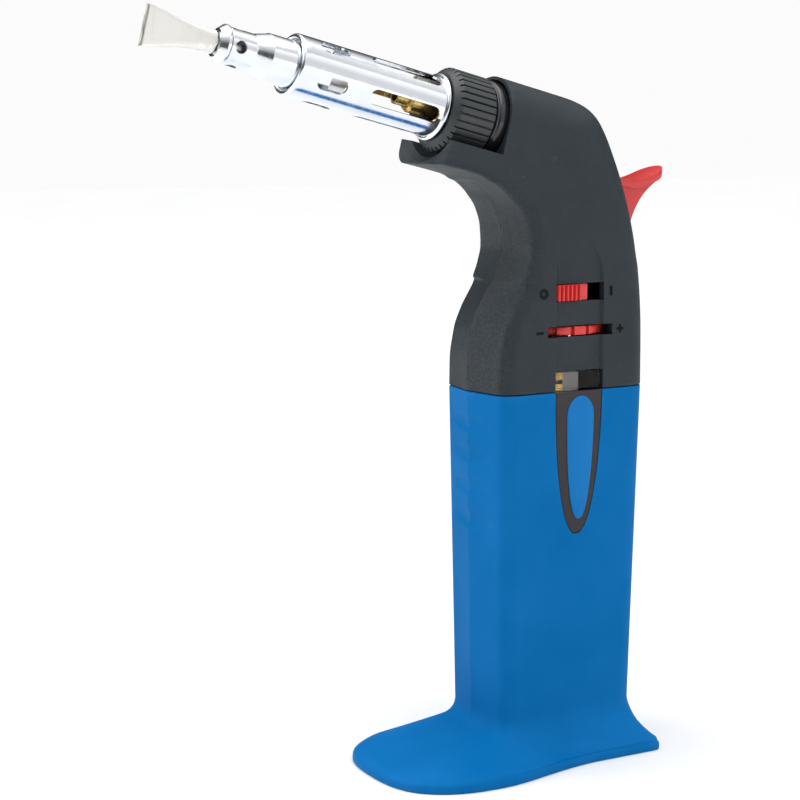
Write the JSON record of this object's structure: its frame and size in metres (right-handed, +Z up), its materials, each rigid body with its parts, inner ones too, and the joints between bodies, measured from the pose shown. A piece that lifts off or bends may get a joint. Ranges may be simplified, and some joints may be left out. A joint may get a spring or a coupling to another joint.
{
  "type": "butane torch",
  "caption": "Hand-held butane torch with a flared standing foot, angled slotted nozzle barrel, spade tip, thumb trigger, gas slider and flame wheel.",
  "frame": {"origin": "centre of the base's flat underside, on the surface the torch stands on", "axes": "+Z up along the grip, -X the way the nozzle points, -Y the side with the gas slider"},
  "size_m": [0.1468, 0.0478, 0.1901],
  "materials": {
    "blue_plastic": "satin moulded plastic",
    "blue_label": "gloss inset",
    "charcoal_plastic": "fine spark-eroded grain",
    "collar_plastic": "satin, ribbed",
    "black_plastic": "gloss",
    "red_plastic": "satin",
    "smoky_window": "smoked translucent",
    "clear_window": "clear smoky plastic",
    "milky_plastic": "natural",
    "rubber_seal": "matt",
    "brass": "turned",
    "steel": "zinc plated",
    "chrome": "polished plate",
    "tip_metal": "bright, heat-tinted near the ring",
    "ceramic": "glazed"
  },
  "bodies": {
    "torch_body": {"grip_shell": "blue_plastic", "base_plate": "black_plastic", "base_screw_1": "steel", "base_screw_2": "steel", "fuel_tank": "milky_plastic", "tank_lid": "milky_plastic", "fuel_wick": "milky_plastic", "filler_seal": "rubber_seal", "filler_body": "brass", "filler_spring": "steel", "level_window": "smoky_window", "label_plate": "blue_label", "valve_window": "clear_window", "valve_holder": "milky_plastic", "holder_screw_1": "brass", "holder_screw_2": "brass", "head_right": "charcoal_plastic", "head_left": "charcoal_plastic", "head_screw_1": "steel", "head_screw_2": "steel", "head_screw_3": "steel", "valve_body": "brass", "lever_pin": "steel", "gas_hose": "milky_plastic", "jet_holder": "brass", "piezo_body": "black_plastic", "trigger_spring": "steel", "spark_lead": "black_plastic", "gas_jet": "brass", "mixing_tube": "steel", "burner_tube": "brass", "nozzle_socket": "black_plastic", "insulator": "ceramic", "electrode": "steel", "barrel": "chrome"},
    "wheel": {"flame_wheel": "red_plastic"},
    "slider": {"gas_slider": "red_plastic"},
    "lever": {"gas_lever": "steel"},
    "stem": {"valve_stem": "brass"},
    "trigger_group": {"trigger": "red_plastic", "piezo_plunger": "milky_plastic"},
    "filler": {"filler_stem": "brass"},
    "collar": {"knob_collar": "collar_plastic", "knob_ring": "black_plastic"},
    "tip": {"tip_sleeve": "chrome", "tip_ring": "chrome", "blade_tip": "tip_metal"}
  },
  "joints": [
    {"name": "flame_wheel_turn", "type": "hinge", "parent": "torch_body", "child": "wheel", "pos_m": [0.0019, 0, 0.1117], "axis": [0, 0, 1], "range_deg": [-90, 90]},
    {"name": "gas_slide", "type": "slide", "parent": "torch_body", "child": "slider", "axis": [1, 0, 0], "range_m": [0, 0.0042]},
    {"name": "gas_lever_turn", "type": "hinge", "parent": "torch_body", "child": "lever", "pos_m": [0.0019, 0.008, 0.116], "axis": [-1, 0, 0], "range_deg": [0, 3.7]},
    {"name": "valve_stem_lift", "type": "slide", "parent": "torch_body", "child": "stem", "axis": [0, 0, 1], "range_m": [0, 0.00055]},
    {"name": "trigger_press", "type": "slide", "parent": "torch_body", "child": "trigger_group", "axis": [0, 0, -1], "range_m": [0, 0.0045], "stiffness_N_per_m": 800, "springref_m": -0.001, "deforming": ["trigger_spring"]},
    {"name": "filler_press", "type": "slide", "parent": "torch_body", "child": "filler", "axis": [0, 0, 1], "range_m": [0, 0.0015], "stiffness_N_per_m": 400, "springref_m": -0.001, "deforming": ["filler_spring"]},
    {"name": "collar_turn", "type": "hinge", "parent": "torch_body", "child": "collar", "pos_m": [-0.0188, 0, 0.1636], "axis": [-0.9707, 0, 0.2402], "continuous": true},
    {"name": "tip_turn", "type": "hinge", "parent": "torch_body", "child": "tip", "pos_m": [-0.0188, 0, 0.1636], "axis": [-0.9707, 0, 0.2402], "continuous": true}
  ],
  "couplings": [
    {"joint": "gas_lever_turn", "follows": "gas_slide", "rad_per_m": 13.8},
    {"joint": "valve_stem_lift", "follows": "gas_slide", "ratio": 0.111}
  ]
}
